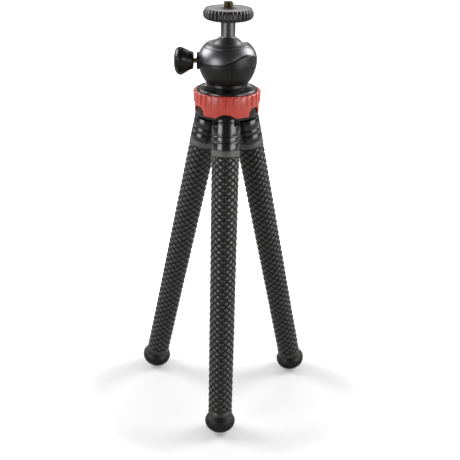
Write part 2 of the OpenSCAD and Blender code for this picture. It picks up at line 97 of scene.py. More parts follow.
# fine grain of a moulded or painted surface: a little colour, roughness and height
def buildGrain():
    group, start, end = makeGroup(
        "mouldedGrain",
        [("Color", "NodeSocketColor", (0.1, 0.1, 0.1, 1)), ("Roughness", "NodeSocketFloat", 0.4),
         ("Scale", "NodeSocketFloat", 900.0), ("Tone", "NodeSocketFloat", 0.1), ("Spread", "NodeSocketFloat", 0.08)],
        [("Color", "NodeSocketColor"), ("Roughness", "NodeSocketFloat"), ("Height", "NodeSocketFloat")])
    link = group.links.new
    place = addNode(group, "ShaderNodeTexCoord")
    fine = addNode(group, "ShaderNodeTexNoise", {"Detail": 3.0, "Roughness": 0.6})
    broad = addNode(group, "ShaderNodeTexNoise", {"Scale": 60.0, "Detail": 2.0})
    link(place.outputs["Object"], fine.inputs["Vector"])
    link(place.outputs["Object"], broad.inputs["Vector"])
    link(start.outputs["Scale"], fine.inputs["Scale"])
    swing = mathNode(group, "SUBTRACT", broad.outputs["Fac"], 0.5)
    tone = mathNode(group, "ADD", mathNode(group, "MULTIPLY", swing, start.outputs["Tone"]), 1.0)
    shade = addNode(group, "ShaderNodeVectorMath", operation="SCALE")
    link(start.outputs["Color"], shade.inputs[0])
    link(tone, shade.inputs["Scale"])
    link(shade.outputs[0], end.inputs["Color"])
    rough = mathNode(group, "ADD", start.outputs["Roughness"],
                     mathNode(group, "MULTIPLY", swing, start.outputs["Spread"]), clamp=True)
    link(rough, end.inputs["Roughness"])
    link(fine.outputs["Fac"], end.inputs["Height"])
    return group


# lines turned round the vertical axis, as a lathe or a mould leaves them
def buildTurned():
    group, start, end = makeGroup(
        "turnedLines",
        [("Pitch", "NodeSocketFloat", 0.0004), ("Wander", "NodeSocketFloat", 0.3)],
        [("Height", "NodeSocketFloat")])
    link = group.links.new
    place = addNode(group, "ShaderNodeTexCoord")
    split = addNode(group, "ShaderNodeSeparateXYZ")
    link(place.outputs["Object"], split.inputs[0])
    square = mathNode(group, "ADD", mathNode(group, "POWER", split.outputs[0], 2.0),
                      mathNode(group, "POWER", split.outputs[1], 2.0))
    reach = mathNode(group, "SQRT", square)
    noise = addNode(group, "ShaderNodeTexNoise", {"Scale": 400.0, "Detail": 2.0})
    link(place.outputs["Object"], noise.inputs["Vector"])
    turns = mathNode(group, "DIVIDE", mathNode(group, "ADD", reach, split.outputs[2]), start.outputs["Pitch"])
    bent = mathNode(group, "ADD", turns, mathNode(group, "MULTIPLY", noise.outputs["Fac"], start.outputs["Wander"]))
    wave = mathNode(group, "SINE", mathNode(group, "MULTIPLY", bent, tau))
    link(wave, end.inputs["Height"])
    return group


grainGroup = buildGrain()
turnedGroup = buildTurned()

finishes = {
    "glossBlack": {"color": (0.008, 0.008, 0.008), "rough": 0.24, "scale": 1500, "bump": 0.02, "specular": 0.8,
                   "coat": 0.2},
    "satinBlack": {"color": (0.007, 0.007, 0.008), "rough": 0.34, "scale": 1400, "bump": 0.05, "specular": 0.35},
    "wheelBlack": {"color": (0.012, 0.012, 0.012), "rough": 0.28, "scale": 1400, "bump": 0.05, "specular": 0.5},
    "knobBlack": {"color": (0.006, 0.006, 0.006), "rough": 0.30, "scale": 1400, "bump": 0.03, "specular": 0.4},
    "gunmetal": {"color": (0.155, 0.155, 0.160), "rough": 0.40, "scale": 1800, "bump": 0.02, "metal": 1.0},
    "cupBlack": {"color": (0.016, 0.016, 0.0153), "rough": 0.36, "scale": 1800, "bump": 0.03, "metal": 0.3,
                 "specular": 0.4},
    "ballMetal": {"color": (0.105, 0.105, 0.108), "rough": 0.42, "scale": 1600, "bump": 0.02, "metal": 0.95,
                  "turned": 0.03},
    "brass": {"color": (0.560, 0.400, 0.180), "rough": 0.30, "scale": 1600, "bump": 0.04, "metal": 1.0},
    "darkBrass": {"color": (0.100, 0.072, 0.040), "rough": 0.36, "scale": 1600, "bump": 0.05, "metal": 1.0},
    "steel": {"color": (0.500, 0.500, 0.510), "rough": 0.32, "scale": 1600, "bump": 0.04, "metal": 1.0},
    "redPlastic": {"color": (0.505, 0.046, 0.027), "rough": 0.32, "scale": 1300, "bump": 0.05, "tone": 0.16,
                   "specular": 0.9},
    # sleeveRubber's groove colour is painted shade: the grooves between the pads are darkened where shade falls in them
    "sleeveRubber": {"color": (0.028, 0.0265, 0.024), "rough": 0.42, "scale": 1100, "bump": 0.06, "tone": 0.4,
                     "specular": 0.4, "coat": 1.0, "coatRough": 0.28,
                     "groove": (0.004, 0.004, 0.004), "grooveRough": 0.7},
    "bandRubber": {"color": (0.090, 0.088, 0.086), "rough": 0.50, "scale": 1100, "bump": 0.10, "tone": 0.3},
    "footRubber": {"color": (0.006, 0.006, 0.006), "rough": 0.45, "scale": 1000, "bump": 0.10, "tone": 0.4,
                   "specular": 0.35},
    # the pad's light grey is partly the rubber's own colour and partly painted sheen from the light above
    "padRubberAndSheen": {"color": (0.190, 0.186, 0.183), "rough": 0.40, "scale": 1000, "bump": 0.06, "turned": 0.10},
    "nylon": {"color": (0.600, 0.590, 0.550), "rough": 0.45, "scale": 900, "bump": 0.05},
    "coreAlloy": {"color": (0.350, 0.350, 0.360), "rough": 0.40, "scale": 1200, "bump": 0.05, "metal": 1.0},
}


def makeFinish(name, look):
    material = bpy.data.materials.new(name)
    material.use_nodes = True
    tree = material.node_tree
    link = tree.links.new
    shader = tree.nodes["Principled BSDF"]
    grain = addNode(tree, "ShaderNodeGroup", node_tree=grainGroup)
    grain.inputs["Color"].default_value = (*look["color"], 1)
    grain.inputs["Roughness"].default_value = look["rough"]
    grain.inputs["Scale"].default_value = look["scale"]
    grain.inputs["Tone"].default_value = look.get("tone", 0.25)
    grain.inputs["Spread"].default_value = look.get("spread", 0.12)
    color, rough = grain.outputs["Color"], grain.outputs["Roughness"]
    if "groove" in look:
        # the grooves between the pads are duller than the pads' crowns, and their darker colour is painted shade in the
        # recesses
        crown = addNode(tree, "ShaderNodeAttribute", attribute_name="crown")
        paint = addNode(tree, "ShaderNodeMix", data_type="RGBA")
        paint.inputs["A"].default_value = (*look["groove"], 1)
        link(crown.outputs["Fac"], paint.inputs["Factor"])
        link(color, paint.inputs["B"])
        dull = addNode(tree, "ShaderNodeMix", data_type="FLOAT")
        dull.inputs["A"].default_value = look["grooveRough"]
        link(crown.outputs["Fac"], dull.inputs["Factor"])
        link(rough, dull.inputs["B"])
        color, rough = paint.outputs["Result"], dull.outputs["Result"]
        link(mathNode(tree, "MULTIPLY", crown.outputs["Fac"], look["coat"]), shader.inputs["Coat Weight"])
    link(color, shader.inputs["Base Color"])
    link(rough, shader.inputs["Roughness"])
    bump = addNode(tree, "ShaderNodeBump", {"Strength": look["bump"], "Distance": 0.0004})
    link(grain.outputs["Height"], bump.inputs["Height"])
    if "turned" in look:
        lines = addNode(tree, "ShaderNodeGroup", node_tree=turnedGroup)
        second = addNode(tree, "ShaderNodeBump", {"Strength": look["turned"], "Distance": 0.0002})
        link(lines.outputs["Height"], second.inputs["Height"])
        link(bump.outputs["Normal"], second.inputs["Normal"])
        bump = second
    link(bump.outputs["Normal"], shader.inputs["Normal"])
    shader.inputs["Metallic"].default_value = look.get("metal", 0.0)
    shader.inputs["Specular IOR Level"].default_value = look.get("specular", 0.5)
    shader.inputs["Coat Weight"].default_value = look.get("coat", 0.0)
    shader.inputs["Coat Roughness"].default_value = look.get("coatRough", 0.16)
    return material


finish = {name: makeFinish(name, look) for name, look in finishes.items()}
print("finishes made:", len(finish))


# turns a line of (radius, height) points, in mm, round the Z axis
def lathe(bm, points, steps):
    verts = [bm.verts.new((r * mm, 0, z * mm)) for r, z in points]
    edges = [bm.edges.new(pair) for pair in zip(verts, verts[1:])]
    bmesh.ops.spin(bm, geom=verts + edges, cent=(0, 0, 0), axis=(0, 0, 1), angle=tau, steps=steps, use_merge=True)
    bmesh.ops.remove_doubles(bm, verts=bm.verts[:], dist=1e-7)
    bmesh.ops.recalc_face_normals(bm, faces=bm.faces[:])


# rounds every edge that is sharper than the angle
def soften(bm, width, angle=30, segments=2, clamp=True):
    sharp = [e for e in bm.edges if e.is_manifold and e.calc_face_angle(0) > radians(angle)]
    bmesh.ops.bevel(bm, geom=sharp, offset=width * mm, offset_type="OFFSET", segments=segments, profile=0.5,
                    affect="EDGES", material=-1, clamp_overlap=clamp)


# distance of a vertex from the Z axis, in mm
def reachOf(v):
    return sqrt(v.co.x ** 2 + v.co.y ** 2) / mm


def setReach(v, aim):
    pull = aim / reachOf(v)
    v.co.x *= pull
    v.co.y *= pull


# adds one bmesh to another and frees it
def joinInto(bm, part):
    joined = bpy.data.meshes.new("joined")
    part.to_mesh(joined)
    part.free()
    bm.from_mesh(joined)
    bpy.data.meshes.remove(joined)


# a thread ridge of that pitch between two heights, cut flat at both ends
def addThread(bm, rootR, crestR, pitch, low, high, steps=48):
    ridge = bmesh.new()
    turns = int((high - low) / pitch) + 2
    start = low - pitch
    half = 0.42 * pitch
    verts = [ridge.verts.new((r * mm, 0, (start + z) * mm))
             for r, z in ((rootR - 0.1, -half), (crestR, -0.06 * pitch), (crestR, 0.06 * pitch), (rootR - 0.1, half))]
    edges = [ridge.edges.new(pair) for pair in zip(verts, verts[1:])]
    bmesh.ops.spin(ridge, geom=verts + edges, cent=(0, 0, 0), axis=(0, 0, 1), dvec=(0, 0, pitch * mm / steps),
                   angle=tau * turns, steps=steps * turns)
    bmesh.ops.recalc_face_normals(ridge, faces=ridge.faces[:])
    for height, side in ((low, -1), (high, 1)):
        bmesh.ops.bisect_plane(ridge, geom=ridge.verts[:] + ridge.edges[:] + ridge.faces[:], dist=1e-7,
                               plane_co=(0, 0, height * mm), plane_no=(0, 0, side), clear_outer=True)
    bmesh.ops.holes_fill(ridge, edges=[e for e in ridge.edges if e.is_boundary], sides=6)
    joinInto(bm, ridge)


def addObject(name, bm, look, angle=40):
    mesh = bpy.data.meshes.new(name)
    bm.to_mesh(mesh)
    bm.free()
    mesh.materials.append(finish[look])
    mesh.shade_smooth()
    mesh.set_sharp_from_angle(angle=radians(angle))
    piece = bpy.data.objects.new(name, mesh)
    scene.collection.objects.link(piece)
    return piece


def addPiece(name, bm, look, body, slot, *nodes, angle=40):
    piece = addObject(name, bm, look, angle)
    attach(piece, body)
    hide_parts(*nodes)
    return piece


# cuts one bmesh out of another
def carve(bm, cutter):
    meshes = []
    objects = []
    for label, part in (("body", bm), ("cutter", cutter)):
        mesh = bpy.data.meshes.new(label)
        part.to_mesh(mesh)
        meshes.append(mesh)
        objects.append(bpy.data.objects.new(label, mesh))
        scene.collection.objects.link(objects[-1])
    cut = objects[0].modifiers.new("cut", "BOOLEAN")
    cut.operation = "DIFFERENCE"
    cut.solver = "EXACT"
    cut.object = objects[1]
    bpy.context.view_layer.update()
    shaped = bpy.data.meshes.new_from_object(objects[0].evaluated_get(bpy.context.evaluated_depsgraph_get()))
    print("carved:", len(meshes[0].polygons), "to", len(shaped.polygons), "faces")
    bm.clear()
    bm.from_mesh(shaped)
    cutter.free()
    for thing in objects:
        bpy.data.objects.remove(thing)
    for mesh in meshes + [shaped]:
        bpy.data.meshes.remove(mesh)


# rounded copy of a CAD node
def softCopy(node, width, angle=35):
    bm = bmesh.new()
    bm.from_mesh(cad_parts[node].data)
    bmesh.ops.remove_doubles(bm, verts=bm.verts[:], dist=2e-6)
    bmesh.ops.dissolve_limit(bm, angle_limit=radians(0.5), verts=bm.verts[:], edges=bm.edges[:])
    soften(bm, width, angle, clamp=False)
    return bm


camera = {"place": (0.0035, -0.5984, 0.36614), "orbit": 0.7, "pitch": 22.473, "roll": 1.1, "focal": 977.7, "frame": 460,
          "sensor": 36}


def makeCamera(c):
    data = bpy.data.cameras.new("studioCamera")
    data.sensor_width = c["sensor"]
    data.lens = c["focal"] / c["frame"] * c["sensor"]
    data.clip_start = 0.01
    eye = bpy.data.objects.new("studioCamera", data)
    eye.matrix_world = (Matrix.Rotation(radians(c["orbit"]), 4, "Z") @ Matrix.Translation(c["place"])
                        @ Matrix.Rotation(radians(90 - c["pitch"]), 4, "X")
                        @ Matrix.Rotation(radians(c["roll"]), 4, "Z"))
    scene.collection.objects.link(eye)
    scene.camera = eye


studio = {
    "fill": 0.12, "fillColor": (1, 1, 1), "gloss": 0.05, "target": (0, 0, 0.16),
    # glow of the white floor for camera rays, near the object and far from it
    "glowNear": 0.22, "glowFar": 1.0, "nearR": 0.08, "farR": 0.15,
    "floorR": 2.75, "floorY": 2.2, "floorSink": 0.0002, "paper": 0.62, "paperMirrored": 0.3,
    # name: bearing from the camera, height angle, distance, width, height, brightness
    "boxes": {
        "frontLeft": (-48, -3, 1.3, 0.72, 1.10, 5.0),
        "frontRight": (62, -3, 1.3, 1.00, 1.10, 4.2),
        "sideLeft": (-112, 30, 1.3, 0.80, 0.70, 9.5),
        "sideRight": (116, 30, 1.3, 0.80, 0.70, 9.5),
        "overhead": (180, 68, 1.5, 0.70, 0.40, 2.0),
        "back": (180, 34, 1.6, 1.10, 0.60, 3.0),
    },
}


def makeStudio(s):
    world = bpy.data.worlds.new("studioWorld")
    scene.world = world
    world.use_nodes = True
    tree = world.node_tree
    back = tree.nodes["Background"]
    back.inputs["Color"].default_value = (*s["fillColor"], 1)
    ray = addNode(tree, "ShaderNodeLightPath")
    seen = mathNode(tree, "MAXIMUM", ray.outputs["Is Camera Ray"], ray.outputs["Is Transmission Ray"])
    shine = mathNode(tree, "MULTIPLY", ray.outputs["Is Glossy Ray"], s["gloss"] - s["fill"])
    strength = mathNode(tree, "ADD", mathNode(tree, "MULTIPLY", seen, 1 - s["fill"]), s["fill"])
    strength = mathNode(tree, "ADD", strength, shine)
    tree.links.new(strength, back.inputs["Strength"])
    target = Vector(s["target"])
    for name, (bearing, lift, distance, width, height, bright) in s["boxes"].items():
        lamp = bpy.data.lights.new(name, "AREA")
        lamp.shape = "RECTANGLE"
        lamp.size = width
        lamp.size_y = height
        lamp.energy = bright * width * height * pi
        box = bpy.data.objects.new(name, lamp)
        a, e = radians(bearing), radians(lift)
        away = Vector((sin(a) * cos(e), -cos(a) * cos(e), sin(e)))
        turn = away.to_track_quat("Z", "Y").to_matrix().to_4x4()
        box.matrix_world = Matrix.Translation(target + away * distance) @ turn
        scene.collection.objects.link(box)
    bm = bmesh.new()
    bmesh.ops.create_circle(bm, cap_ends=True, radius=s["floorR"], segments=96,
                            matrix=Matrix.Translation((0, s["floorY"], -s["floorSink"])))
    mesh = bpy.data.meshes.new("floor")
    bm.to_mesh(mesh)
    bm.free()
    floor = bpy.data.objects.new("floor", mesh)
    scene.collection.objects.link(floor)
    paper = bpy.data.materials.new("whitePaper")
    paper.use_nodes = True
    shader = paper.node_tree.nodes["Principled BSDF"]
    shader.inputs["Roughness"].default_value = 0.9
    shader.inputs["Specular IOR Level"].default_value = 0.1
    shader.inputs["Emission Color"].default_value = (1, 1, 1, 1)
    tree = paper.node_tree
    place = addNode(tree, "ShaderNodeTexCoord")
    reach = addNode(tree, "ShaderNodeVectorMath", operation="LENGTH")
    tree.links.new(place.outputs["Object"], reach.inputs[0])
    fade = addNode(tree, "ShaderNodeMapRange", {"From Min": s["nearR"], "From Max": s["farR"], "To Min": s["glowNear"],
                                                "To Max": s["glowFar"]}, interpolation_type="SMOOTHSTEP")
    tree.links.new(reach.outputs["Value"], fade.inputs["Value"])
    ray = addNode(tree, "ShaderNodeLightPath")
    glow = mathNode(tree, "MULTIPLY", ray.outputs["Is Camera Ray"], fade.outputs["Result"])
    tree.links.new(glow, shader.inputs["Emission Strength"])
    # the floor is dimmer in reflections, as a table that ends near the object is
    tint = addNode(tree, "ShaderNodeMix", data_type="RGBA")
    tint.inputs["A"].default_value = (*(s["paper"], ) * 3, 1)
    tint.inputs["B"].default_value = (*(s["paperMirrored"], ) * 3, 1)
    tree.links.new(ray.outputs["Is Glossy Ray"], tint.inputs["Factor"])
    tree.links.new(tint.outputs["Result"], shader.inputs["Base Color"])
    mesh.materials.append(paper)
    scene.view_settings.view_transform = "Standard"


makeCamera(camera)
makeStudio(studio)
print("camera and studio ready")


platform = {
    "flutes": 36, "perFlute": 10, "depth": 0.75, "edge": 0.45, "radius": 15.4, "bore": 2.74,
    "low": lowOf("platform_wheel"), "top": topOf("platform_wheel"),
    # in from the rim and up from the underside, then in and down from the top
    "underIn": 2.6, "hipIn": 0.8, "hipUp": 0.8, "sideUp": 2.0, "sideDown": 1.7, "topIn": 1.3,
    "fluteIn": 1.9, "fluteFade": 1.2,
    "padR": 13.5, "padIn": 4.575, "padDeep": 1.0, "padGap": 0.05, "padEdge": 0.2, "bossR": 4.52,
}


def makePlatform(p):
    bm = bmesh.new()
    r, low, top = p["radius"], p["low"], p["top"]
    padR, deep = p["padR"] + p["padGap"], top - p["padDeep"]
    lathe(bm, [(p["bore"], low), (r - p["underIn"], low), (r - p["hipIn"], low + p["hipUp"]), (r, low + p["sideUp"]),
               (r, top - p["sideDown"]), (r - p["topIn"], top), (padR, top), (padR, deep), (p["bossR"], deep),
               (p["bossR"], top), (p["bore"], top), (p["bore"], low)], p["flutes"] * p["perFlute"])
    soften(bm, p["edge"], 20, 3)
    for v in bm.verts:
        over = reachOf(v) - (r - p["fluteIn"])
        if over > 0:
            wave = 0.5 - 0.5 * cos(p["flutes"] * atan2(v.co.y, v.co.x))
            setReach(v, reachOf(v) - p["depth"] * min(1, over / p["fluteFade"]) * wave ** 2)
    addPiece("platformWheel", bm, "wheelBlack", "platform", "black_satin", "platform_wheel", angle=50)
    bm = bmesh.new()
    lathe(bm, [(p["padIn"], deep), (p["padR"], deep), (p["padR"], top), (p["padIn"], top), (p["padIn"], deep)], 120)
    soften(bm, p["padEdge"], 30, 3)
    addPiece("platformPad", bm, "padRubberAndSheen", "platform", "pad_rubber", "platform_pad")


cameraScrew = {
    "root": 2.5, "crest": 3.175, "pitch": 1.27, "neck": 2.675, "relief": 0.1, "tipDown": 0.4, "tipIn": 0.45,
    "threadUp": 0.02, "threadDown": 0.25, "low": lowOf("camera_screw"), "stemTop": topOf("ball_stud"),
    "shelf": topOf("platform_wheel") + 0.5, "tip": topOf("camera_screw"),
}


def makeCameraScrew(p):
    bm = bmesh.new()
    slim = p["neck"] - p["relief"]
    lathe(bm, [(0, p["low"]), (slim, p["low"]), (slim, p["stemTop"]), (p["neck"], p["stemTop"] + p["relief"]),
               (p["neck"], p["shelf"]), (p["root"], p["shelf"] + p["relief"]), (p["root"], p["tip"] - p["tipDown"]),
               (p["root"] - p["tipIn"], p["tip"]), (0, p["tip"])], 64)
    addThread(bm, p["root"], p["crest"], p["pitch"], p["shelf"] + p["threadUp"], p["tip"] - p["threadDown"])
    addPiece("cameraScrew", bm, "darkBrass", "ball", "brass_dark", "camera_screw", angle=30)


makePlatform(platform)
makeCameraScrew(cameraScrew)
print("platform made")


ballStud = {"ball": 11.5, "centre": topOf("ball_stud") - 21.1, "stem": 4.5, "top": topOf("ball_stud"), "hole": 7,
            "holeR": 2.6, "edge": 0.3, "fillet": 0.5, "flare": ((1, 0), (0.35, 0.55), (0, 1.5))}


def makeBallStud(p):
    bm = bmesh.new()
    join = sqrt(p["ball"] ** 2 - (p["stem"] + p["fillet"]) ** 2)
    rows = [(p["ball"] * sin(a * pi / 48), p["centre"] - p["ball"] * cos(a * pi / 48)) for a in range(0, 41)]
    rows = [(r, z) for r, z in rows if z < p["centre"] + join]
    rows += [(p["stem"] + out * p["fillet"], p["centre"] + join + up * p["fillet"]) for out, up in p["flare"]]
    rows += [(p["stem"], p["top"] - p["edge"]), (p["stem"] - p["edge"], p["top"]), (p["holeR"], p["top"]),
             (p["holeR"], p["top"] - p["hole"]), (0, p["top"] - p["hole"])]
    lathe(bm, rows, 96)
    addPiece("ballStud", bm, "ballMetal", "ball", "ball_metal", "ball_stud")


cupLow = lowOf("housing_cup")
housing = {
    "wide": 18.3, "end": 13.2, "low": cupLow, "mid": cupLow + 14.4, "rim": cupLow + 24.6, "rimBevel": 0.5, "rimIn": 0.9,
    "cavity": 11.7, "ballZ": cupLow + 17.4, "seatR": 12.6, "seatZ": cupLow + 6.0, "chamber": 6.5,
    "flat": 1.0, "wave": 3.0, "crest": -47, "gap": 0.44, "lip": 0.28, "steps": 180, "rows": 14,
    "slotBearing": 40, "slotHalf": 4.9, "slotUp": 20, "slotOut": 30,
    "clampZ": cupLow + 12.9, "bossR": 5.41, "bossIn": 15.4, "screwR": 2.06, "boreFrom": 8, "boreTo": 25,
    "bandH": 2.1, "groove": 0.42, "grooveLow": (0, 0.12), "grooveHigh": (0.1, 0.36), "bandRows": (0.48, 0.9),
    "seamHalf": 0.3, "seamTop": cupLow + 11.5, "seamLow": cupLow + 2.5, "seamFrom": -81, "seamTo": -29, "seamTurn": 2,
    "seamGap": 0.05, "seamOut": 2,
}


def bulge(h, z, end):
    share = (z - h["mid"]) / (end - h["mid"])
    return h["wide"] * sqrt(max(0, 1 - (1 - (h["end"] / h["wide"]) ** 2) * share ** 2))


def waveHeight(h, bearing):
    a = bearing - radians(h["crest"])
    return h["mid"] + h["flat"] + h["wave"] * (cos(2 * a) + 0.3 * cos(4 * a))


def cavityAt(h, z):
    return sqrt(max(0.01, h["cavity"] ** 2 - (z - h["ballZ"]) ** 2))


# slides the turned rows along the housing so that the parting edge follows the wave
def wrapWave(bm, h, flat, far, edge, inner):
    for v in bm.verts:
        reach, z = reachOf(v), v.co.z / mm
        bearing = atan2(v.co.y, v.co.x)
        share = (far - z) / (far - flat)
        moved = z + share * (waveHeight(h, bearing) + edge - flat)
        end = far if far < h["mid"] else h["rim"] - h["rimBevel"]
        outer = bulge(h, z, end)
        if reach > 0.5 * (outer + inner(z)):
            reach += bulge(h, moved, end) - outer
        else:
            reach += inner(moved) - inner(z)
        v.co = Vector((reach * cos(bearing), reach * sin(bearing), moved)) * mm


def slotCutter(h):
    cutter = bmesh.new()
    bmesh.ops.create_circle(cutter, cap_ends=True, radius=h["slotHalf"] * mm, segments=64)
    for v in cutter.verts:
        v.co.y += h["slotUp"] * mm if v.co.y > 1e-6 else 0
    # the circle's upper half is drawn up, stood across the slot and pushed outwards
    stand = Matrix(((0, 0, 1, 0), (1, 0, 0, 0), (0, 1, 0, 0), (0, 0, 0, 1)))
    bmesh.ops.transform(cutter, matrix=stand, verts=cutter.verts[:])
    pushed = bmesh.ops.extrude_face_region(cutter, geom=cutter.faces[:])["geom"]
    bmesh.ops.translate(cutter, verts=[v for v in pushed if isinstance(v, bmesh.types.BMVert)],
                        vec=(h["slotOut"] * mm, 0, 0))
    bmesh.ops.recalc_face_normals(cutter, faces=cutter.faces[:])
    bmesh.ops.rotate(cutter, verts=cutter.verts[:], cent=(0, 0, 0),
                     matrix=Matrix.Rotation(radians(h["slotBearing"]), 3, "Z"))
    bmesh.ops.translate(cutter, verts=cutter.verts[:], vec=(0, 0, h["ballZ"] * mm))
    return cutter


# lays what was turned round Z along the clamp's axis at a height, outwards to -X
def layAlong(bm, height):
    bmesh.ops.transform(bm, matrix=Matrix.Translation((0, 0, height * mm)) @ Matrix.Rotation(-pi / 2, 4, "Y"),
                        verts=bm.verts[:])


def bossCutter(h):
    cutter = bmesh.new()
    lathe(cutter, [(0, h["boreFrom"]), (h["screwR"], h["boreFrom"]), (h["screwR"], h["bossIn"]),
                   (h["bossR"], h["bossIn"]), (h["bossR"], h["boreTo"]), (0, h["boreTo"])], 64)
    layAlong(cutter, h["clampZ"])
    return cutter


# thin curved block that follows the cup between two heights and two bearings
def seamCutter(h, low, high, start, end):
    cutter = bmesh.new()
    across, up = max(2, round((end - start) / 2)), max(2, round(high - low))
    sheets = []
    heights = [low + (high - low) * j / up for j in range(up + 1)]
    for offset in (-h["groove"], h["seamOut"]):
        sheet = []
        for i in range(across + 1):
            a = radians(start + (end - start) * i / across)
            column = [(bulge(h, z, h["low"]) + offset, z) for z in heights]
            sheet.append([cutter.verts.new((r * cos(a) * mm, r * sin(a) * mm, z * mm)) for r, z in column])
        sheets.append(sheet)
    inner, outer = sheets
    for i in range(across):
        for j in range(up):
            for sheet in sheets:
                cutter.faces.new((sheet[i][j], sheet[i + 1][j], sheet[i + 1][j + 1], sheet[i][j + 1]))
    for i in range(across):
        for j in (0, up):
            cutter.faces.new((inner[i][j], inner[i + 1][j], outer[i + 1][j], outer[i][j]))
    for j in range(up):
        for i in (0, across):
            cutter.faces.new((inner[i][j], inner[i][j + 1], outer[i][j + 1], outer[i][j]))
    bmesh.ops.recalc_face_normals(cutter, faces=cutter.faces[:])
    return cutter


def makeHousing(h):
    flat = h["mid"] + h["flat"]
    bevelZ = h["rim"] - h["rimBevel"]
    count = h["rows"]
    # dome, from the parting line up over the rim and down the inside
    bm = bmesh.new()
    grooveZ = h["rim"] - h["bandH"]
    outer = [(bulge(h, z, bevelZ), z) for z in [flat + (grooveZ - flat) * i / count for i in range(count + 1)]]
    # a thin groove sets off the band round the rim
    deep = outer[-1][0] - h["groove"]
    outer += [(deep - back, grooveZ + up) for back, up in (h["grooveLow"], h["grooveHigh"])]
    outer += [(bulge(h, z, bevelZ), z) for z in [grooveZ + up for up in h["bandRows"]] + [bevelZ - 0.3]]
    inner = [(cavityAt(h, z), z) for z in [h["rim"] + (flat - h["rim"]) * i / 10 for i in range(11)]]
    lathe(bm, outer + [(h["end"] - h["rimIn"], h["rim"])] + inner + [outer[0]], h["steps"])
    soften(bm, h["lip"], 25, 2)
    wrapWave(bm, h, flat, h["rim"], h["gap"] / 2, lambda z: cavityAt(h, z))
    carve(bm, slotCutter(h))
    carve(bm, bossCutter(h))
    addPiece("housingDome", bm, "gunmetal", "head", "gunmetal", "housing_dome", angle=32)
    # cup, from the parting line down to its foot
    bm = bmesh.new()
    outer = [(bulge(h, z, h["low"]), z) for z in [flat + (h["low"] - flat) * i / count for i in range(count + 1)]]
    inside = [(h["chamber"], h["low"]), (h["chamber"], h["seatZ"]), (h["seatR"], h["seatZ"]),
              (h["seatR"], flat - h["wave"]), (h["seatR"], flat)]
    lathe(bm, outer + inside + [outer[0]], h["steps"])
    soften(bm, h["lip"], 25, 2)
    wrapWave(bm, h, flat, h["low"], -h["gap"] / 2, lambda z: h["seatR"] if z > h["seatZ"] - 0.3 else h["chamber"])
    carve(bm, slotCutter(h))
    carve(bm, bossCutter(h))
    top, half = h["seamTop"], h["seamHalf"]
    carve(bm, seamCutter(h, top - half, top + half, h["seamFrom"], h["seamTo"]))
    for start in (h["seamFrom"], h["seamTo"] - h["seamTurn"]):
        carve(bm, seamCutter(h, h["seamLow"], top - half - h["seamGap"], start, start + h["seamTurn"]))
    addPiece("housingCup", bm, "cupBlack", "head", "black_metal", "housing_cup", angle=32)


clamp = {
    "z": housing["clampZ"], "bossR": 5.35, "bossIn": housing["bossIn"], "bossOut": 19.0, "bossBore": 1.86, "bossDish": 0.5,
    "dishR": (3.2, 2.8), "bossEdge": 0.35,
    "screwR": 1.8, "rootR": 1.5, "pitch": 0.8, "screwIn": 14.25, "screwOut": 29.54, "threadUp": 0.3,
    "near": 21.0, "length": 12.2, "knobR": 9.2, "nearR": 5.52, "bore": 1.85, "boreDeep": 1.2, "edge": 0.5,
    # share of the knob's radius, share of its length
    "bell": ((0.7812, 0.33), (0.84, 0.42), (0.98, 0.56), (1, 0.66), (0.965, 0.78), (0.83, 0.9), (0.58, 0.97), (0.3, 0.99),
             (0, 1)),
    "scallopAt": 11.96, "scallopR": 5.52, "roll": 0.8, "coreR": 4, "turn": -105,
}


def makeClamp(c):
    bm = bmesh.new()
    wideR, smallR = c["dishR"]
    dish = c["bossOut"] - c["bossDish"]
    lathe(bm, [(c["bossBore"], c["bossIn"]), (c["bossR"], c["bossIn"]), (c["bossR"], c["bossOut"]), (wideR, c["bossOut"]),
               (smallR, dish), (c["bossBore"], dish), (c["bossBore"], c["bossIn"])], 72)
    soften(bm, c["bossEdge"], 30, 3)
    layAlong(bm, c["z"])
    addPiece("clampBoss", bm, "satinBlack", "head", "black_satin", "clamp_boss")
    bm = bmesh.new()
    lathe(bm, [(0, c["screwIn"]), (c["rootR"], c["screwIn"]), (c["rootR"], c["screwOut"]), (0, c["screwOut"])], 48)
    addThread(bm, c["rootR"], c["screwR"], c["pitch"], c["screwIn"] + c["threadUp"], c["near"] + 1)
    layAlong(bm, c["z"])
    addPiece("clampScrew", bm, "brass", "clamp_screw", "brass", "clamp_spindle", angle=30)
    bm = bmesh.new()
    near, length = c["near"], c["length"]
    rows = [(c["bore"], near + c["boreDeep"]), (c["bore"], near), (c["nearR"] - c["edge"], near),
            (c["nearR"], near + c["edge"]), (1.06 * c["nearR"], near + 0.2 * length)]
    lathe(bm, rows + [(r * c["knobR"], near + z * length) for r, z in c["bell"]], 120)
    for v in bm.verts:
        reach = reachOf(v)
        if reach < c["coreR"] or v.co.z < (near + 0.1) * mm:
            continue
        third = (degrees(atan2(v.co.y, v.co.x)) - c["turn"] + 60) % 120 - 60
        side = c["scallopAt"] * sin(radians(third))
        if abs(side) >= c["scallopR"]:
            continue
        limit = c["scallopAt"] * cos(radians(third)) - sqrt(c["scallopR"] ** 2 - side ** 2)
        over, roll = reach - limit, c["roll"]
        # rolls over the edge of the scallop
        keep = limit if over > roll else reach - (over + roll) ** 2 / (4 * roll) if over > -roll else reach
        setReach(v, min(keep, reach))
    layAlong(bm, c["z"])
    knob = addPiece("clampKnob", bm, "knobBlack", "clamp_screw", "black_gloss", "clamp_knob", angle=60)
    rounding = knob.modifiers.new("round", "SUBSURF")
    rounding.levels = rounding.render_levels = 1


panBase = {"radius": 12.9, "low": lowOf("pan_base"), "top": topOf("pan_base"), "bore": 3.06, "chamfer": 0.5, "clear": 0.02,
           "edge": 0.15}
hubDisc = {"radius": 18.6, "low": lowOf("hub_disc"), "top": topOf("hub_disc"), "bore": 3.06, "fillet": 0.7, "dish": 0.15,
           "dishR": (13.4, 13.2)}


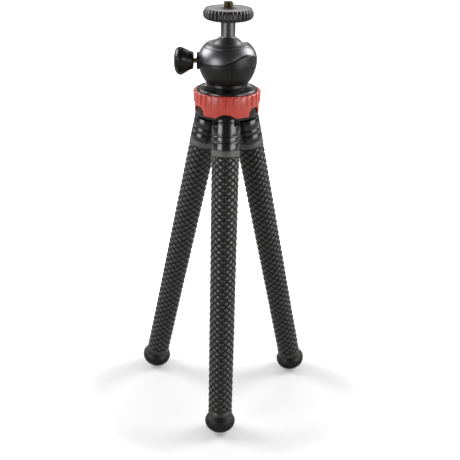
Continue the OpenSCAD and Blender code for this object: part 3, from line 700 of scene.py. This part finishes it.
def makeDiscs(p, d):
    bm = bmesh.new()
    r, low, top, c = p["radius"], p["low"], p["top"] - p["clear"], p["chamfer"]
    lathe(bm, [(p["bore"], low), (r - c, low), (r, low + c), (r, top), (p["bore"], top), (p["bore"], low)], 120)
    soften(bm, p["edge"], 30, 2)
    addPiece("panBase", bm, "satinBlack", "head", "black_metal", "pan_base")
    bm = bmesh.new()
    r, low, top, f = d["radius"], d["low"], d["top"], d["fillet"]
    wideR, smallR = d["dishR"]
    edge = [(r - f + f * cos(a * pi / 16), top - f + f * sin(a * pi / 16)) for a in range(9)]
    dish = [(wideR, top), (smallR, top - d["dish"]), (d["bore"], top - d["dish"]), (d["bore"], low)]
    lathe(bm, [(d["bore"], low), (r, low)] + edge + dish, 144)
    addPiece("hubDisc", bm, "glossBlack", "hub", "black_gloss", "hub_disc")


makeBallStud(ballStud)
makeHousing(housing)
makeClamp(clamp)
makeDiscs(panBase, hubDisc)
print("ball head made")


ringLow = lowOf("lock_ring")
twistRing = {
    "low": ringLow, "high": ringLow + 13.6, "inR": 19.4, "outR": 20.3, "band": 6.3, "draft": 0.1, "edge": 0.2, "steps": 720,
    "ribR": 21.2, "ribFootR": 20.88, "ribFoot": 0.3, "ribTop": 0.5, "ribs": 30, "gapShare": 0.28, "roll": 0.3,
    "lipZ": ringLow + 7.4, "lipTop": ringLow + 12.35, "lipR": 16.4, "discR": 18.8,
    "archHigh": 2.45, "archHalf": 6.1, "notchHigh": 5.1, "notchHalf": 5.3, "notchFoot": 2.8, "notchLean": 2.4,
}


# height of the ring's lower edge above its foot at a bearing measured from the front
def ringEdge(t, bearing):
    offset = (degrees(bearing) + 60) % 120 - 60
    x = abs(t["outR"] * sin(radians(offset)))
    if x < t["archHalf"]:
        r = (t["archHalf"] ** 2 + t["archHigh"] ** 2) / (2 * t["archHigh"])
        return max(0, t["archHigh"] - r + sqrt(r * r - x * x))
    offset = degrees(bearing) % 120 - 60
    x = abs(t["outR"] * sin(radians(offset)))
    if x < t["notchHalf"]:
        share = min(1, (t["notchHalf"] - x) / t["notchLean"])
        return t["notchFoot"] + (t["notchHigh"] - t["notchFoot"]) * share
    return 0


def makeTwistRing(t):
    bm = bmesh.new()
    low, high, foot = t["low"], t["high"], t["low"] + t["band"]
    rib = t["ribTop"]
    lathe(bm, [(t["inR"], low), (t["outR"] - t["draft"], low), (t["outR"], foot), (t["ribFootR"], foot + t["ribFoot"]),
               (t["ribR"], high - rib), (t["ribR"] - rib, high), (t["discR"], high), (t["discR"], t["lipTop"]),
               (t["lipR"], t["lipTop"]), (t["lipR"], t["lipZ"]), (t["inR"], t["lipZ"]), (t["inR"], low)], t["steps"])
    soften(bm, t["edge"], 20, 2)
    for v in bm.verts:
        reach = reachOf(v)
        bearing = atan2(v.co.x, -v.co.y)
        z = v.co.z / mm
        if reach > t["outR"] + 0.02 and z > foot:
            turn = (degrees(bearing) * t["ribs"] / 360 + 0.5) % 1 - 0.5
            edge = (abs(turn) - t["gapShare"] / 2) * tau * t["ribR"] / t["ribs"]
            share = min(1, max(0, 0.5 + 0.5 * edge / t["roll"]))
            share = share * share * (3 - 2 * share)
            setReach(v, t["outR"] + (reach - t["outR"]) * share)
        if z < foot - 0.01:
            lift = ringEdge(t, bearing)
            v.co.z += lift * (foot - z) / t["band"] * mm
    addPiece("twistRing", bm, "redPlastic", "lock_ring", "red_plastic", "lock_ring", angle=45)


makeTwistRing(twistRing)
addPiece("hubBody", softCopy("hub_body", 0.2), "satinBlack", "hub", "black_satin", "hub_body", angle=35)
print("hub and twist ring made")


leg = {
    "pivotR": 15.5, "pivotZ": (lowOf("leg_1_pin") + topOf("leg_1_pin")) / 2, "inset": 2.77, "splay": 12.9,
    "length": 194.5, "collarEnd": -17.93, "bandEnd": -21.83, "footTop": -190.2, "sleeveTop": 8.9, "sleeveEnd": 7.7,
    "bends": (-37.93, -77.07, -116.21, -155.36),
}


def legMatrix(k, l):
    return (Matrix.Rotation(radians(120 * (k - 1)), 4, "Z")
            @ Matrix.Translation((0, -l["pivotR"] * mm, l["pivotZ"] * mm))
            @ Matrix.Rotation(radians(-l["splay"]), 4, "X") @ Matrix.Translation((0, l["inset"] * mm, 0)))


def sleeveR(l, z):
    share = (l["collarEnd"] - z) / (l["collarEnd"] - l["footTop"])
    return l["sleeveTop"] - (l["sleeveTop"] - l["sleeveEnd"]) * share


foot = {"radius": 9.63, "drop": 7.6, "side": 1.5, "mouth": 7.75, "mouthWall": 0.5, "lip": 0.6, "floor": -192.9}


def makeFoot(k, l, f):
    bm = bmesh.new()
    low, r, top = -l["length"], f["radius"], l["footTop"]
    rows = [(r * sin(a * pi / 40), low - f["drop"] * cos(a * pi / 40)) for a in range(0, 21)]
    rows += [(r, low + f["side"]), (f["mouth"] + f["mouthWall"], top), (f["mouth"], top), (f["mouth"], f["floor"]),
             (0, f["floor"])]
    lathe(bm, rows, 72)
    soften(bm, f["lip"], 22, 3)
    bmesh.ops.transform(bm, matrix=legMatrix(k, l), verts=bm.verts[:])
    bmesh.ops.bisect_plane(bm, geom=bm.verts[:] + bm.edges[:] + bm.faces[:], dist=1e-7, plane_co=(0, 0, 0),
                           plane_no=(0, 0, -1), clear_outer=True)
    bmesh.ops.holes_fill(bm, edges=[e for e in bm.edges if e.is_boundary], sides=0)
    addPiece(f"foot{k}", bm, "footRubber", f"leg_{k}_seg_5", "foot_rubber", f"leg_{k}_foot")


sleeve = {"columns": 10, "row": 4.15, "lowBand": 3.2, "depth": 0.45, "floor": 0.06, "flank": 0.28, "shoulder": 0.4,
          "levels": (0, 0.84, 0.985, 1), "bandCrown": 0.7, "blend": 11, "spare": 5,
          "topBand": {"gap": 0.1, "lip": 0.25}, "footBand": {"sunk": 2.2, "lip": 0.3}, "tuck": (1.5, 1.2)}


# one step of subdivision that leaves the open edges where they are
def rounded(bm):
    corner = bm.verts.layers.float.new("crease_vert")
    border = bm.edges.layers.float.new("crease_edge")
    for e in bm.edges:
        if e.is_boundary:
            e[border] = 1
            for v in e.verts:
                v[corner] = 1
    rough = bpy.data.meshes.new("rough")
    bm.to_mesh(rough)
    thing = bpy.data.objects.new("rough", rough)
    scene.collection.objects.link(thing)
    step = thing.modifiers.new("round", "SUBSURF")
    step.levels = step.render_levels = 1
    bpy.context.view_layer.update()
    smooth = bpy.data.meshes.new_from_object(thing.evaluated_get(bpy.context.evaluated_depsgraph_get()))
    bm.clear()
    bm.from_mesh(smooth)
    bpy.data.objects.remove(thing)
    for mesh in (rough, smooth):
        bpy.data.meshes.remove(mesh)


# rhombus pads between two heights: a grid of quads is poked, and its own edges dissolved
def padLattice(l, s, top, low, fromZ, toZ):
    bm = bmesh.new()
    rows = round((top - low) / s["row"])
    lathe(bm, [(sleeveR(l, top), top + (low - top) * i / rows) for i in range(rows + 1)], s["columns"])
    grid = [e for e in bm.edges if len(e.link_faces) == 2]
    bmesh.ops.poke(bm, faces=bm.faces[:])
    bmesh.ops.dissolve_edges(bm, edges=grid, use_verts=False)
    for v in bm.verts:
        setReach(v, sleeveR(l, v.co.z / mm) - s["depth"])
    spare = [f for f in bm.faces if not toZ <= f.calc_center_median().z / mm < fromZ]
    bmesh.ops.delete(bm, geom=spare, context="FACES")
    bmesh.ops.recalc_face_normals(bm, faces=bm.faces[:])
    pads = bm.faces[:]
    crown = bm.verts.layers.float.new("crown")
    for width, level in zip((s["floor"], s["flank"], s["shoulder"]), s["levels"]):
        bmesh.ops.inset_individual(bm, faces=pads, thickness=width * mm, use_even_offset=True)
        for v in {v for f in pads for v in f.verts}:
            v[crown] = level
    for v in bmesh.ops.poke(bm, faces=pads)["verts"]:
        v[crown] = s["levels"][-1]
    for v in bm.verts:
        setReach(v, sleeveR(l, v.co.z / mm) - s["depth"] * (1 - v[crown]))
    rounded(bm)
    return bm


def makeSleeve(k, l, s):
    place = legMatrix(k, l)
    top, low = l["bandEnd"], l["footTop"] + s["lowBand"]
    cuts = [top + s["spare"]] + [(a + b) / 2 for a, b in zip(l["bends"], l["bends"][1:])] + [low - s["spare"]]
    for i, bend in enumerate(l["bends"]):
        bm = padLattice(l, s, top, low, cuts[i], cuts[i + 1])
        ends = []
        if i == 0:
            ends.append((l["collarEnd"] - s["topBand"]["gap"], top, s["topBand"]["lip"]))
        if i == 3:
            ends.append((low, l["footTop"] - s["footBand"]["sunk"], s["footBand"]["lip"]))
        for high, under, lip in ends:
            band = bmesh.new()
            a, b = sleeveR(l, high), sleeveR(l, under)
            lathe(band, [(a - s["tuck"][0], high), (a, high), (b, under), (b - s["tuck"][1], under)], 84)
            soften(band, lip, 30, 3)
            # the bands' crown level sets their coat and, on the foot band, how much painted groove shade darkens its
            # colour
            crown = band.verts.layers.float.new("crown")
            for v in band.verts:
                v[crown] = s["bandCrown"]
            for f in band.faces:
                f.material_index = 1 if i == 0 else 0
            joinInto(bm, band)
        bmesh.ops.transform(bm, matrix=place, verts=bm.verts[:])
        piece = addObject(f"sleeve{k}part{i + 1}", bm, "sleeveRubber", angle=50)
        piece.data.materials.append(finish["bandRubber"])
        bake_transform(piece)
        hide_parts(f"leg_{k}_sleeve")


collar = {"radius": 8.9, "half": 5.0, "set": 0.03, "rows": 10, "edge": 0.2, "soft": 0.16}


# the collar, with its knuckle round and whole under the ring's arch
def makeCollar(k, l, c):
    bm = softCopy(f"leg_{k}_collar", c["soft"])
    knuckle = bmesh.new()
    sides = [c["half"] * (2 * i / c["rows"] - 1) for i in range(c["rows"] + 1)]
    front = [(sqrt(c["radius"] ** 2 - x * x) - l["inset"] - c["set"], x) for x in sides]
    lathe(knuckle, [(0, -c["half"])] + front + [(0, c["half"])], 72)
    soften(knuckle, c["edge"], 50, 2)
    place = legMatrix(k, l) @ Matrix.Translation((0, -l["inset"] * mm, 0)) @ Matrix.Rotation(pi / 2, 4, "Y")
    bmesh.ops.transform(knuckle, matrix=place, verts=knuckle.verts[:])
    joinInto(bm, knuckle)
    addPiece(f"collar{k}", bm, "glossBlack", f"leg_{k}", "black_gloss", f"leg_{k}_collar", angle=35)


for k in (1, 2, 3):
    makeCollar(k, leg, collar)
    makeFoot(k, leg, foot)
    makeSleeve(k, leg, sleeve)
print("legs made")


# hidden CAD parts keep their solids and take a finish
inside = {"ball_seat": "nylon", "brake_shoe": "nylon", "pan_washer": "satinBlack", "pan_nut": "steel",
          "head_bolt": "steel", "ring_washer": "nylon"}
for k in (1, 2, 3):
    inside[f"leg_{k}_pin"] = "steel"
    for i in range(1, 6):
        inside[f"leg_{k}_core_{i}"] = "coreAlloy"
for node, look in inside.items():
    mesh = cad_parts[node].data
    mesh.materials.clear()
    mesh.materials.append(finish[look])
print("inside parts finished:", len(inside))
